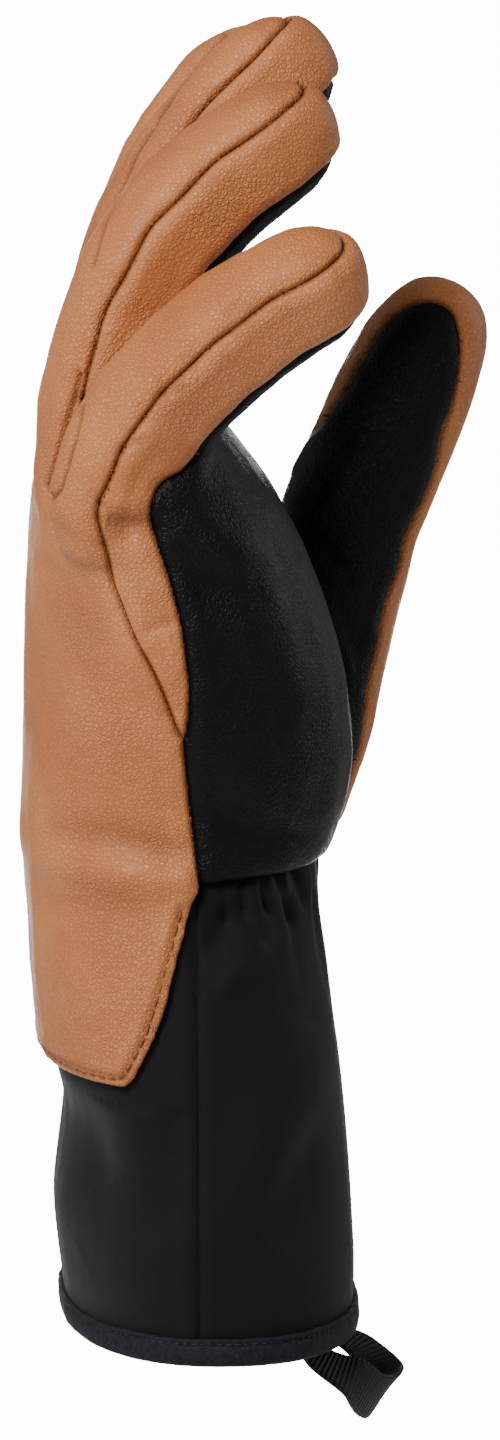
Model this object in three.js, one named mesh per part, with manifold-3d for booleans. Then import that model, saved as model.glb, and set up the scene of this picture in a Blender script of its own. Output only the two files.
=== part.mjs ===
// A right-hand leather glove with a softshell cuff, standing in the form of the hand.
// Millimetres. +Z runs from the cuff opening to the fingertips, -X is the back of the hand,
// +X the palm, -Y the little finger's side, +Y the thumb's side.
// The origin is the middle of the cuff opening.

import * as THREE from 'three';
import Module from 'manifold-3d';

const wasm = await Module();
wasm.setup();

// Driving dimensions
const cuffLength = 98;
const handLength = 92;
const cuffDepth = 59.5;
const cuffWidth = 104;
const handWidth = 94;
const handDepth = 66;
const leatherWall = 2.6;
const cuffWall = 2.0;
const gap = 0.3;
const overrun = 1;
const fingerWidth = 24.5;
const fingerDepth = 25;
const knuckleRise = 80;
const fingerSpacing = 23.5;
const littleLength = 71;
const ringLength = 91;
const middleLength = 97;
const indexLength = 91;
const thumbLength = 116;
const thumbWidth = 29;
const thumbDepth = 28;
const backStrip = 7.5;
const palmStrip = 7;
const nailStrip = 7;
const flapLength = 42;
const flapWall = 2.0;
const hemTapeHeight = 6;
const hemTapeWall = 0.9;
const loopWidth = 10;
const loopWall = 1.2;
const loopDrop = 13;
const gatherDepth = 0.9;
const gatherCount = 12;
const gatherStart = 0.78;

// Facets round each form
const cuffSides = 32;
const handSides = 20;
const fingerSides = 12;
const innerShare = 0.45;
const bandSteps = 6;
const lineSteps = 60;

// How square each section is: 2 is an ellipse
const bodyPower = 2.25;
const fingerPower = 2.35;
const thumbPower = 2.2;
const loopSteps = 18;

const radians = THREE.MathUtils.degToRad;

// Facets of a form: the hidden inner faces have fewer
const facets = (sides, offset) => (offset < 0 ? 2 * Math.round(sides * innerShare / 2) : sides);

// Cuff sections: height, back and palm reach as shares of the depth, half width of the width
const cuffColumns = { height: 0, back: 1, palm: 2, half: 3 };
const cuffRows = [
  [0.00, 0.472, 0.504, 0.492],
  [0.12, 0.498, 0.506, 0.500],
  [0.24, 0.522, 0.492, 0.495],
  [0.47, 0.480, 0.474, 0.471],
  [0.57, 0.525, 0.461, 0.457],
  [0.78, 0.560, 0.412, 0.423],
  [0.94, 0.574, 0.370, 0.392],
  [1.00, 0.576, 0.384, 0.387],
];

// Hand sections: height up the hand, back and palm reach as shares of the hand's depth
const handColumns = { height: 0, back: 1, palm: 2, half: 3, middle: 4 };
const handRows = [
  [0.00, 0.572, 0.372, 0.448, 0.000],
  [0.14, 0.566, 0.436, 0.446, 0.004],
  [0.24, 0.562, 0.455, 0.468, 0.004],
  [0.40, 0.556, 0.432, 0.488, -0.002],
  [0.56, 0.548, 0.366, 0.498, -0.006],
  [0.70, 0.538, 0.290, 0.502, -0.006],
  [0.80, 0.518, 0.215, 0.500, -0.006],
  [0.88, 0.490, 0.140, 0.490, -0.006],
  [0.94, 0.455, 0.075, 0.470, -0.006],
  [0.98, 0.400, 0.015, 0.440, -0.006],
];

// Fingers: place of the knuckle as shares of the hand, roll and spread in degrees
const fingerTable = [
  { name: 'little', length: littleLength, x: -0.335, y: -0.380, lift: 0.000, size: 0.98,
    roll: 24, spread: -3, bends: [20, 34, 46, 52, 64, 80] },
  { name: 'ring', length: ringLength, x: -0.355, y: -0.130, lift: 0.030, size: 1.00,
    roll: 12, spread: -1, bends: [5, 13, 25, 44, 55, 71] },
  { name: 'middle', length: middleLength, x: -0.300, y: 0.125, lift: 0.036, size: 1.02,
    roll: 2, spread: 1, bends: [7, 13, 22, 35, 45, 58] },
  { name: 'index', length: indexLength, x: -0.262, y: 0.375, lift: 0.015, size: 1.00,
    roll: -8, spread: 2, bends: [9, 13, 19, 24, 42, 66] },
];

// Finger sections: share of the length, size as a share of the finger's own
const fingerShares = [
  [-0.20, 0.70], [-0.06, 0.94], [0.10, 1.01], [0.27, 1.00], [0.44, 1.01], [0.62, 1.00],
  [0.80, 0.96],
];
const rootShare = 0.3;
const pastTip = 1.12;
const bandStart = -0.06;
const zoneStart = -0.16;
const stripStart = 0.04;
const domeSteps = [0.40, 0.75, 0.96];

// Thumb sections along its length: place as shares of the thumb's length, size shares
const thumbColumns = { x: 0, y: 1, z: 2, wide: 3, deep: 4 };
const thumbRows = [
  [0.110, 0.150, 0.000, 0.66, 0.60],
  [0.168, 0.180, 0.050, 0.82, 0.76],
  [0.188, 0.218, 0.120, 0.93, 0.86],
  [0.211, 0.265, 0.240, 1.02, 0.98],
  [0.246, 0.310, 0.390, 1.04, 1.02],
  [0.291, 0.340, 0.530, 1.02, 1.00],
  [0.352, 0.362, 0.660, 1.01, 0.97],
  [0.405, 0.378, 0.780, 0.94, 0.90],
  [0.438, 0.388, 0.850, 0.84, 0.82],
  [0.458, 0.392, 0.895, 0.70, 0.70],
  [0.470, 0.394, 0.925, 0.50, 0.52],
  [0.477, 0.396, 0.940, 0.24, 0.26],
];
const thumbTurn = 62;
const tipWrap = 4.2;
const tipRows = 4;

const gussetStart = 0.32;
const gussetRow = 2;

// Side seams down the little finger's side of the hand: height, reach towards the palm
const seamColumns = { height: 0, back: 1, palm: 2 };
const seamRows = [
  [0.02, -0.075, -0.075],
  [0.20, -0.105, -0.105],
  [0.32, -0.125, -0.110],
  [0.44, -0.185, -0.105],
  [0.56, -0.270, -0.125],
  [0.68, -0.335, -0.165],
  [0.80, -0.375, -0.225],
  [0.87, -0.390, -0.230],
];

// Build a closed solid from rings of equal length
function loft(rings) {
  const sides = rings[0].length;
  const points = rings.flat();
  const first = points.length;
  const middle = (ring) => ring.reduce((sum, p) => sum.add(p), new THREE.Vector3())
    .multiplyScalar(1 / ring.length);
  points.push(middle(rings[0]), middle(rings[rings.length - 1]));
  const index = [];
  for (let r = 0; r < rings.length - 1; r += 1) {
    for (let s = 0; s < sides; s += 1) {
      const a = r * sides + s;
      const b = r * sides + ((s + 1) % sides);
      index.push(a, b, a + sides, b, b + sides, a + sides);
    }
  }
  const top = (rings.length - 1) * sides;
  for (let s = 0; s < sides; s += 1) {
    const next = (s + 1) % sides;
    index.push(first, next, s, first + 1, top + s, top + next);
  }
  return solid(points, index);
}

// Turn points and triangles into a solid, with its faces pointing outwards
function solid(points, index) {
  let volume = 0;
  const cross = new THREE.Vector3();
  for (let i = 0; i < index.length; i += 3) {
    cross.crossVectors(points[index[i + 1]], points[index[i + 2]]);
    volume += points[index[i]].dot(cross);
  }
  const order = [];
  for (let i = 0; i < index.length; i += 3) {
    const [a, b, c] = index.slice(i, i + 3);
    order.push(...(volume > 0 ? [a, b, c] : [a, c, b]));
  }
  const vertProperties = new Float32Array(points.flatMap((p) => [p.x, p.y, p.z]));
  return new wasm.Manifold(new wasm.Mesh({
    numProp: 3, vertProperties, triVerts: new Uint32Array(order),
  }));
}

// A rounded-box ring round a centre: 0 degrees points along the normal
function sectionRing(centre, normal, side, deep, wide, sides, power) {
  const ring = [];
  for (let s = 0; s < sides; s += 1) {
    const turn = (2 * Math.PI * s) / sides;
    const c = Math.cos(turn);
    const d = Math.sin(turn);
    const u = Math.sign(c) * Math.abs(c) ** (2 / power);
    const v = Math.sign(d) * Math.abs(d) ** (2 / power);
    ring.push(centre.clone().addScaledVector(normal, u * deep).addScaledVector(side, v * wide));
  }
  return ring;
}

// A flat ring round the hand or cuff, with its own reach at the back and the palm
function bodyRing(z, back, palm, half, middle, sides, ripple) {
  const ring = [];
  for (let s = 0; s < sides; s += 1) {
    const turn = (2 * Math.PI * s) / sides;
    const c = Math.cos(turn);
    const d = Math.sin(turn);
    const u = Math.sign(c) * Math.abs(c) ** (2 / bodyPower);
    const v = Math.sign(d) * Math.abs(d) ** (2 / bodyPower);
    const fold = ripple ? ripple(turn) : 0;
    const centre = (palm - back) / 2;
    const reach = (palm + back) / 2;
    const x = centre - u * (reach + fold);
    ring.push(new THREE.Vector3(x, middle + v * (half + fold), z));
  }
  return ring;
}

// Cuff, from the hem to the wrist, at an offset from its outer face
function cuffForm(offset, lowest, highest) {
  const at = cuffColumns;
  const rings = cuffRows.map((row) => {
    const z = lowest + (highest - lowest) * row[at.height];
    const near = Math.max(0, (row[at.height] - gatherStart) / (1 - gatherStart));
    const ripple = (turn) => {
      const palmSide = Math.max(0, -Math.cos(turn));
      return gatherDepth * near * palmSide * Math.cos(gatherCount * turn) + offset;
    };
    return bodyRing(z, row[at.back] * cuffDepth, row[at.palm] * cuffDepth,
      row[at.half] * cuffWidth, 0, facets(cuffSides, offset), ripple);
  });
  return loft(rings);
}

// Hand, from the wrist to the knuckles, at an offset from its outer face
function handForm(offset, below) {
  const at = handColumns;
  const rings = handRows.map((row, i) => {
    const drop = i === 0 ? below : 0;
    const close = i === handRows.length - 1 ? offset : 0;
    const z = cuffLength + handLength * row[at.height] - drop + close;
    return bodyRing(z, row[at.back] * handDepth, row[at.palm] * handDepth,
      row[at.half] * handWidth, row[at.middle] * handWidth,
      facets(handSides, offset), () => offset);
  });
  return loft(rings);
}

// The middle line of a finger, with its own frame at each share of its length
function fingerLine(finger) {
  const place = new THREE.Vector3(finger.x * handDepth, finger.y * handWidth,
    cuffLength + knuckleRise + finger.lift * handLength);
  const bendAt = (t) => {
    const last = finger.bends.length - 1;
    const s = THREE.MathUtils.clamp(t, 0, 1) * last;
    const i = Math.min(Math.floor(s), last - 1);
    return radians(finger.bends[i] + (finger.bends[i + 1] - finger.bends[i]) * (s - i));
  };
  const spread = radians(finger.spread);
  const heading = (t) => {
    const bend = t < 0 ? bendAt(0) * rootShare : bendAt(t);
    return new THREE.Vector3(Math.sin(bend) * Math.cos(spread), Math.sin(spread),
      Math.cos(bend) * Math.cos(spread));
  };
  const line = (t) => {
    const point = place.clone();
    const sign = t < 0 ? -1 : 1;
    const count = Math.ceil(Math.abs(t) * lineSteps);
    for (let i = 0; i < count; i += 1) {
      const step = Math.abs(t) / count;
      point.addScaledVector(heading(sign * (i + 0.5) * step), sign * step * finger.length);
    }
    return point;
  };
  return { line, frame: (t) => frameOf(heading(t), radians(finger.roll)) };
}

// Normal towards the back of the finger, and the side that faces the little finger
function frameOf(direction, roll) {
  const side = new THREE.Vector3(0, -1, 0);
  side.addScaledVector(direction, -side.dot(direction)).normalize();
  const normal = new THREE.Vector3().crossVectors(side, direction).negate();
  if (normal.x > 0 && normal.z < 0) normal.negate();
  const rolledNormal = normal.clone().multiplyScalar(Math.cos(roll))
    .addScaledVector(side, Math.sin(roll));
  const rolledSide = side.clone().multiplyScalar(Math.cos(roll))
    .addScaledVector(normal, -Math.sin(roll));
  return { direction, normal: rolledNormal, side: rolledSide };
}

// A closed finger at an offset from its outer face
function fingerForm(finger, offset) {
  const { line, frame } = fingerLine(finger);
  const deep = (fingerDepth / 2) * finger.size;
  const wide = (fingerWidth / 2) * finger.size;
  const rings = fingerShares.map(([t, size]) => {
    const f = frame(t);
    return sectionRing(line(t), f.normal, f.side, deep * size + offset, wide * size + offset,
      facets(fingerSides, offset), fingerPower);
  });
  const lastShare = fingerShares[fingerShares.length - 1][0];
  const endSize = fingerShares[fingerShares.length - 1][1];
  const room = 1 - lastShare + offset / finger.length;
  domeSteps.forEach((u) => {
    const f = frame(lastShare + room * u);
    const shrink = Math.sqrt(1 - u * u) ** 0.8;
    rings.push(sectionRing(line(lastShare + room * u), f.normal, f.side,
      (deep * endSize + offset) * shrink, (wide * endSize + offset) * shrink,
      facets(fingerSides, offset), fingerPower));
  });
  return loft(rings);
}

// A band that follows a finger, between two heights above its middle line
function fingerBand(finger, low, high, halfWidth, firstShare) {
  const { line, frame } = fingerLine(finger);
  const rings = [];
  for (let i = 0; i <= bandSteps; i += 1) {
    const t = firstShare + ((pastTip - firstShare) * i) / bandSteps;
    const f = frame(t);
    const corner = (v, w) => line(t).addScaledVector(f.normal, v).addScaledVector(f.side, w);
    rings.push([corner(low, -halfWidth), corner(low, halfWidth), corner(high, halfWidth),
      corner(high, -halfWidth)]);
  }
  return loft(rings);
}

// The thumb's frame at each section: its normal points to the nail
function thumbFrames() {
  const at = thumbColumns;
  const places = thumbRows.map((row) => new THREE.Vector3(row[at.x] * thumbLength,
    row[at.y] * thumbLength, cuffLength + row[at.z] * thumbLength));
  return places.map((place, i) => {
    const before = places[Math.max(0, i - 1)];
    const after = places[Math.min(places.length - 1, i + 1)];
    const direction = after.clone().sub(before).normalize();
    const turn = radians(thumbTurn);
    const normal = new THREE.Vector3(Math.sin(turn), Math.cos(turn), 0);
    normal.addScaledVector(direction, -normal.dot(direction)).normalize();
    const side = new THREE.Vector3().crossVectors(direction, normal);
    return { place, normal, side, wide: thumbRows[i][at.wide], deep: thumbRows[i][at.deep] };
  });
}

function thumbForm(offset) {
  const rings = thumbFrames().map((f) => sectionRing(f.place, f.normal, f.side,
    (thumbDepth / 2) * f.deep + offset, (thumbWidth / 2) * f.wide + offset,
    facets(fingerSides, offset), thumbPower));
  return loft(rings);
}

function thumbBand(low, high, halfWidth) {
  const frames = thumbFrames();
  const rings = frames.map((f, i) => {
    const last = i === frames.length - 1;
    const lean = new THREE.Vector3(0, 0, last ? thumbDepth : 0);
    const tip = Math.max(0, i - (frames.length - 1 - tipRows)) / tipRows;
    const floor = low - nailStrip * tipWrap * tip;
    const corner = (v, w) => f.place.clone().add(lean).addScaledVector(f.normal, v)
      .addScaledVector(f.side, w);
    return [corner(floor, -halfWidth), corner(floor, halfWidth), corner(high, halfWidth),
      corner(high, -halfWidth)];
  });
  return loft(rings);
}

// An outline drawn flat and pushed straight along an axis
function prism(outline, along, from, to) {
  const flat = outline.map(([u, v]) => new THREE.Vector2(u, v));
  if (THREE.ShapeUtils.isClockWise(flat)) flat.reverse();
  const ends = THREE.ShapeUtils.triangulateShape(flat, []);
  const ring = (w) => flat.map((p) => (along === 'y'
    ? new THREE.Vector3(p.x, w, p.y) : new THREE.Vector3(w, p.x, p.y)));
  const count = flat.length;
  const points = [...ring(from), ...ring(to)];
  const index = [];
  ends.forEach(([i, j, k]) => index.push(i, j, k, i + count, k + count, j + count));
  for (let i = 0; i < count; i += 1) {
    const next = (i + 1) % count;
    index.push(next, i, i + count, next, i + count, next + count);
  }
  return solid(points, index);
}

// Keep the one main body of a cut piece
function mainBody(piece) {
  const bodies = piece.decompose();
  return bodies.reduce((best, body) => (body.volume() > best.volume() ? body : best));
}

const far = 160;
const bandReach = far / 4;
const wristHeight = cuffLength;
const top = 3 * far;

// The whole leather skin of the hand, open at the wrist
function handSkin() {
  const outer = [handForm(0, 0), thumbForm(0)];
  const inner = [handForm(-leatherWall, 4 * overrun), thumbForm(-leatherWall)];
  fingerTable.forEach((finger) => {
    outer.push(fingerForm(finger, 0));
    inner.push(fingerForm(finger, -leatherWall));
  });
  const join = (parts) => parts.reduce((sum, part) => sum.add(part));
  const above = prism([[-far, wristHeight], [far, wristHeight], [far, top], [-far, top]],
    'y', -far, far);
  return join(outer).intersect(above).subtract(join(inner));
}

// The little finger's side gusset, down the side of the hand
function sideGusset(grow) {
  const at = seamColumns;
  const height = (row) => wristHeight + row[at.height] * handLength;
  const tail = seamRows.slice(gussetRow);
  const outline = tail.map((row) => [row[at.back] * handDepth - grow, height(row)])
    .concat([...tail].reverse().map((row) => [row[at.palm] * handDepth + grow, height(row)]));
  return prism(outline, 'y', -far, -gussetStart * handWidth);
}

// All that lies behind the side seams and over the dorsal finger seams
function backZone(grow) {
  const at = seamColumns;
  const low = wristHeight - overrun;
  const outline = [[-far, low], [seamRows[0][at.back] * handDepth + grow, low]];
  seamRows.forEach((row) => outline.push([row[at.back] * handDepth + grow,
    wristHeight + row[at.height] * handLength]));
  const last = seamRows[seamRows.length - 1];
  outline.push([-far, wristHeight + last[at.height] * handLength]);
  const body = prism(outline, 'y', -far, far);
  return fingerTable.reduce((zone, finger) => zone.add(
    fingerBand(finger, -grow, bandReach, fingerSpacing / 2 + overrun, zoneStart)), body);
}

const skin = handSkin();

const bandOf = (finger, grow) => fingerBand(finger, -palmStrip * finger.size - grow,
  backStrip * finger.size + grow, fingerSpacing / 2 - gap / 2 + grow, bandStart);
const wideBands = fingerTable.map((finger) => bandOf(finger, gap))
  .reduce((sum, band) => sum.add(band));

// The strip of the back's leather that covers a finger, from the knuckle to the tip
const stripOf = (finger, grow) => fingerBand(finger, -grow, bandReach,
  fingerSpacing / 2 + overrun + grow, stripStart - grow / finger.length);
const wideStrips = fingerTable.map((finger) => stripOf(finger, gap))
  .reduce((sum, strip) => sum.add(strip));

const thumbRim = 0.8;
const thumbZone = thumbForm(thumbRim);
const thumbZoneWide = thumbForm(thumbRim + gap);
const nailSide = thumbBand(nailStrip, bandReach, bandReach);
const nailSideWide = thumbBand(nailStrip - gap, bandReach, bandReach);

const bodySkin = skin.subtract(thumbZoneWide).subtract(wideBands).subtract(sideGusset(gap));

const pieces = {};
fingerTable.forEach((finger, i) => {
  let wall = bandOf(finger, 0);
  if (finger.name === 'little') wall = wall.add(sideGusset(0));
  if (i > 0) wall = wall.subtract(bandOf(fingerTable[i - 1], gap));
  pieces[`${finger.name}_sidewall`] = mainBody(skin.subtract(thumbZoneWide).intersect(wall));
  let strip = stripOf(finger, 0);
  if (i > 0) strip = strip.subtract(stripOf(fingerTable[i - 1], gap));
  pieces[`${finger.name}_back`] = mainBody(bodySkin.intersect(backZone(0)).intersect(strip));
});
pieces.thumb_back = mainBody(skin.intersect(thumbZone).intersect(nailSide));
pieces.thumb_front = mainBody(skin.intersect(thumbZone).subtract(nailSideWide));
pieces.palm_panel = mainBody(bodySkin.subtract(backZone(gap)));

// Flap edge, seen from the side: height above its lower edge, reach of the cuff's depth
const flapRows = [
  [0.00, -0.335],
  [0.03, -0.305],
  [0.12, -0.285],
  [0.26, -0.235],
  [0.45, -0.190],
  [0.70, -0.140],
  [0.88, -0.105],
  [1.00, -0.086],
];

// The flap: the back's leather carried on below the wrist, over the cuff
function flap() {
  const bottom = wristHeight - flapLength;
  const edge = flapRows.map(([share, spread]) => [spread * cuffDepth,
    bottom + share * flapLength]);
  const highest = edge[edge.length - 1][1];
  const outline = [[-far, bottom], ...edge, [-far, highest]];
  const sheet = cuffForm(gap + flapWall, 0, cuffLength - gap)
    .subtract(cuffForm(gap, -overrun, cuffLength + overrun));
  return sheet.intersect(prism(outline, 'y', -far, far));
}

pieces.back_panel = mainBody(bodySkin.intersect(backZone(0)).subtract(wideStrips));
pieces.wrist_flap = mainBody(flap());

// Cuff halves, meeting along a seam down each side
const cuffShell = cuffForm(0, hemTapeWall + gap, cuffLength - gap)
  .subtract(cuffForm(-cuffWall, -overrun, cuffLength + overrun));
const cuffSeam = -0.09 * cuffDepth;
const half = (from, to) => prism([[from, -overrun], [to, -overrun],
  [to, cuffLength + 2 * overrun], [from, cuffLength + 2 * overrun]], 'y', -far, far);
pieces.cuff_back = mainBody(cuffShell.intersect(half(-far, cuffSeam - gap / 2)));
pieces.cuff_palm = mainBody(cuffShell.intersect(half(cuffSeam + gap / 2, far)));

// Tape folded over the hem
const tapeBox = half(-far, far).intersect(prism([[-far, -overrun], [far, -overrun],
  [far, hemTapeHeight], [-far, hemTapeHeight]], 'y', -far, far));
const tapeOuter = cuffForm(gap + hemTapeWall, 0, cuffLength);
const tapeInner = cuffForm(-cuffWall - gap - hemTapeWall, -2 * overrun,
  cuffLength + 2 * overrun);
const tapeRoom = cuffForm(gap, hemTapeWall, cuffLength)
  .subtract(cuffForm(-cuffWall - gap, -overrun, cuffLength + 2 * overrun));
pieces.hem_binding = mainBody(tapeOuter.subtract(tapeInner).intersect(tapeBox)
  .subtract(tapeRoom));

// Hang loop below the hem: reach of the half depth, half width, and share of the drop
const loopRows = [
  [0.94, -0.60, -0.58],
  [1.08, -0.50, -0.94],
  [1.17, -0.38, -1.00],
  [1.18, -0.25, -0.80],
  [1.07, -0.17, -0.46],
];
const loopTurns = [0.72, 0.13];
const loopRise = 4.5;
const loopFree = 1.5;
const loopLean = new THREE.Vector3(0.6, 0.25, 0.76);

// A place just inside the folded tape, at a turn from the middle of the palm side
function hemPlace(turn, z) {
  const chord = loopWidth * loopWidth / (4 * cuffWidth);
  const inset = cuffWall + 3 * gap + hemTapeWall + loopWall / 2 + chord;
  const row = cuffRows[0];
  const [, back, palm, halfShare] = row;
  const middle = ((palm - back) / 2) * cuffDepth;
  const reach = ((palm + back) / 2) * cuffDepth - inset;
  const half = halfShare * cuffWidth - inset;
  const place = new THREE.Vector3(middle + reach * Math.cos(turn), -half * Math.sin(turn), z);
  const across = new THREE.Vector3(reach * Math.sin(turn), half * Math.cos(turn), 0);
  return { place, across: across.normalize() };
}

function hangLoop() {
  const starts = [hemPlace(loopTurns[0], loopRise), hemPlace(loopTurns[0], -loopFree)];
  const ends = [hemPlace(loopTurns[1], -loopFree), hemPlace(loopTurns[1], loopRise)];
  const hanging = loopRows.map(([x, y, z]) => new THREE.Vector3(x * cuffDepth / 2,
    y * cuffWidth / 2, z * loopDrop));
  const places = [...starts.map((s) => s.place), ...hanging, ...ends.map((s) => s.place)];
  const curve = new THREE.CatmullRomCurve3(places, false, 'centripetal');
  const rings = [];
  for (let i = 0; i <= loopSteps; i += 1) {
    const t = i / loopSteps;
    const direction = curve.getTangent(t);
    const hang = THREE.MathUtils.clamp((-loopFree - curve.getPoint(t).z) / loopDrop, 0, 1);
    const seat = t < 0.5 ? starts[0].across : ends[0].across;
    const across = seat.clone().lerp(loopLean, hang);
    across.addScaledVector(direction, -across.dot(direction)).normalize();
    const thin = new THREE.Vector3().crossVectors(direction, across).normalize();
    const corner = (v, w) => curve.getPoint(t).addScaledVector(across, v)
      .addScaledVector(thin, w);
    rings.push([corner(-loopWidth / 2, -loopWall / 2), corner(loopWidth / 2, -loopWall / 2),
      corner(loopWidth / 2, loopWall / 2), corner(-loopWidth / 2, loopWall / 2)]);
  }
  return loft(rings);
}

const finishes = {
  tan: { color: 0xc8875a, roughness: 0.55, metalness: 0 },
  black: { color: 0x19191c, roughness: 0.5, metalness: 0 },
  softshell: { color: 0x161418, roughness: 0.9, metalness: 0 },
  tape: { color: 0x1c1c26, roughness: 0.8, metalness: 0 },
};
const finishOf = {
  back_panel: 'tan',
  little_back: 'tan',
  ring_back: 'tan',
  middle_back: 'tan',
  index_back: 'tan',
  wrist_flap: 'tan',
  palm_panel: 'black',
  little_sidewall: 'tan',
  ring_sidewall: 'tan',
  middle_sidewall: 'tan',
  index_sidewall: 'tan',
  thumb_front: 'black',
  thumb_back: 'tan',
  cuff_back: 'softshell',
  cuff_palm: 'softshell',
  hem_binding: 'tape',
  hang_loop: 'tape',
};
pieces.hang_loop = hangLoop();

const glove = new THREE.Group();
Object.entries(finishOf).forEach(([name, finish]) => {
  const { vertProperties, triVerts } = pieces[name].getMesh();
  const geometry = new THREE.BufferGeometry();
  geometry.setAttribute('position', new THREE.BufferAttribute(new Float32Array(vertProperties), 3));
  geometry.setIndex(new THREE.BufferAttribute(new Uint32Array(triVerts), 1));
  const mesh = new THREE.Mesh(geometry, new THREE.MeshStandardMaterial(finishes[finish]));
  mesh.name = name;
  glove.add(mesh);
});

export default glove;
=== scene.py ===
import math

import bmesh
import bpy
import numpy as np
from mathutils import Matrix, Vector, noise
from mathutils.bvhtree import BVHTree


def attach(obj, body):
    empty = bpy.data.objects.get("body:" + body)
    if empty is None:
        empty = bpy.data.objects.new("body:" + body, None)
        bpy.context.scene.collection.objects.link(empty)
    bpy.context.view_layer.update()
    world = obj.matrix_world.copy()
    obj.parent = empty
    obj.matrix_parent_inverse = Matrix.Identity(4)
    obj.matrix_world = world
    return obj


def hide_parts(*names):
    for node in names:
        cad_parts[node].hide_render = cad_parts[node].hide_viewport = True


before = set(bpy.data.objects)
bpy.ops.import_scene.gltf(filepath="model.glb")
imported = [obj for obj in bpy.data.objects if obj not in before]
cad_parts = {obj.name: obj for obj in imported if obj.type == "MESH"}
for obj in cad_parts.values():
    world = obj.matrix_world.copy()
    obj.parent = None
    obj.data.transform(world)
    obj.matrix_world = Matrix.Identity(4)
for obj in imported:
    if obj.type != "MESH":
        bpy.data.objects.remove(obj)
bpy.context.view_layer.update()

bpy.ops.object.select_all(action="DESELECT")

# The camera looks at the little finger's side, a little from the back of the hand and above.
# It stands far off behind a long lens, so the outline stays close to a flat drawing.
MM = 0.001
VIEW_TURN = math.radians(-5)
VIEW_RISE = math.radians(10)
VIEW_DISTANCE = 3.0
FRAME_HEIGHT = 296.6 * MM
AIM_RIGHT = 9.3 * MM
AIM_UP = 122.2 * MM
SENSOR = 36

view_right = Vector((math.cos(VIEW_TURN), math.sin(VIEW_TURN), 0))
view_back = Vector((math.sin(VIEW_TURN) * math.cos(VIEW_RISE),
                    -math.cos(VIEW_TURN) * math.cos(VIEW_RISE), math.sin(VIEW_RISE)))
view_up = view_back.cross(view_right)
aim = view_right * AIM_RIGHT + view_up * AIM_UP
camera_data = bpy.data.cameras.new("camera")
camera_data.lens = SENSOR * VIEW_DISTANCE / FRAME_HEIGHT
camera_data.sensor_width = SENSOR
camera_data.clip_end = 20
camera = bpy.data.objects.new("camera", camera_data)
camera.location = aim + view_back * VIEW_DISTANCE
camera.rotation_euler = view_back.to_track_quat("Z", "Y").to_euler()
bpy.context.scene.collection.objects.link(camera)
bpy.context.scene.camera = camera

# Soft studio light: a large key from the upper left, a weaker fill from the right,
# a strip behind each side for the edges, and a white room.
LIGHTS = (
    ("key_light", (-0.70, -0.86, 1.00), 0.5, 23, (1.0, 0.97, 0.94)),
    ("fill_light", (1.1, -0.8, 0.45), 0.8, 1.7, (0.96, 0.98, 1.0)),
    ("left_edge_light", (-1.0, 0.25, 0.35), 0.5, 1.4, (1.0, 1.0, 1.0)),
    ("right_edge_light", (0.9, 0.5, 0.4), 0.5, 1.6, (1.0, 1.0, 1.0)),
)
for light_name, place, size, power, colour in LIGHTS:
    light_data = bpy.data.lights.new(light_name, "AREA")
    light_data.size = size
    light_data.energy = power
    light_data.color = colour
    light = bpy.data.objects.new(light_name, light_data)
    light.location = place
    light.rotation_euler = (Vector(place) - aim).to_track_quat("Z", "Y").to_euler()
    bpy.context.scene.collection.objects.link(light)

room = bpy.data.worlds.new("white_room")
room.use_nodes = True
room.node_tree.nodes["Background"].inputs["Color"].default_value = (1, 1, 1, 1)
room.node_tree.nodes["Background"].inputs["Strength"].default_value = 0.22
bpy.context.scene.world = room

# A plain pale floor well below the glove, and a small bright backdrop behind it that gives
# a white ground and lights little of the glove itself.
FLOOR_HEIGHT = -500 * MM
BACKDROP_SIZE = 600 * MM
BACKDROP_PLACE = (100 * MM, 1300 * MM, -120 * MM)
bpy.ops.mesh.primitive_plane_add(size=12, location=(0, 0, FLOOR_HEIGHT))
floor = bpy.context.active_object
floor.name = "floor"
floor_paint = bpy.data.materials.new("pale_floor")
floor_paint.use_nodes = True
floor_paint.node_tree.nodes["Principled BSDF"].inputs["Base Color"].default_value = (0.9, 0.9, 0.9, 1)
floor_paint.node_tree.nodes["Principled BSDF"].inputs["Roughness"].default_value = 0.9
floor.data.materials.append(floor_paint)
bpy.ops.mesh.primitive_plane_add(size=BACKDROP_SIZE, location=BACKDROP_PLACE,
                                 rotation=(math.pi / 2, 0, 0))
backdrop = bpy.context.active_object
backdrop.name = "backdrop"
backdrop_paint = bpy.data.materials.new("lit_backdrop")
backdrop_paint.use_nodes = True
shader = backdrop_paint.node_tree.nodes["Principled BSDF"]
shader.inputs["Emission Color"].default_value = (1, 1, 1, 1)
shader.inputs["Emission Strength"].default_value = 13
backdrop.data.materials.append(backdrop_paint)

# Leather of the hand: eight panels of tan and black leather sewn inside out, so that
# each seam is a narrow valley between two puffed edges. They are made as one skin over
# the solids, smoothed, then cut along the seams into the separate panels.
PANELS = {
    "back_panel": ("back_panel", "little_back", "ring_back", "middle_back", "index_back",
                   "wrist_flap"),
    "palm_panel": ("palm_panel",),
    "little_sidewall": ("little_sidewall",),
    "ring_sidewall": ("ring_sidewall",),
    "middle_sidewall": ("middle_sidewall",),
    "index_sidewall": ("index_sidewall",),
    "thumb_front": ("thumb_front",),
    "thumb_back": ("thumb_back",),
}
SKIN_GRID = 0.95 * MM
SEAM_CLOSE = 0.25 * MM
SKIN_SMOOTHING = 58
SKIN_PUSH = 0.35 * MM
WRIST = 98 * MM
FIELD_SMOOTHING = 20
SEAM_FAIRING = 8
SEAM_ZONE = 2.6 * MM
FARTHEST_REACH = 14 * MM
LEATHER_THICKNESS = 1.3 * MM
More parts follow.
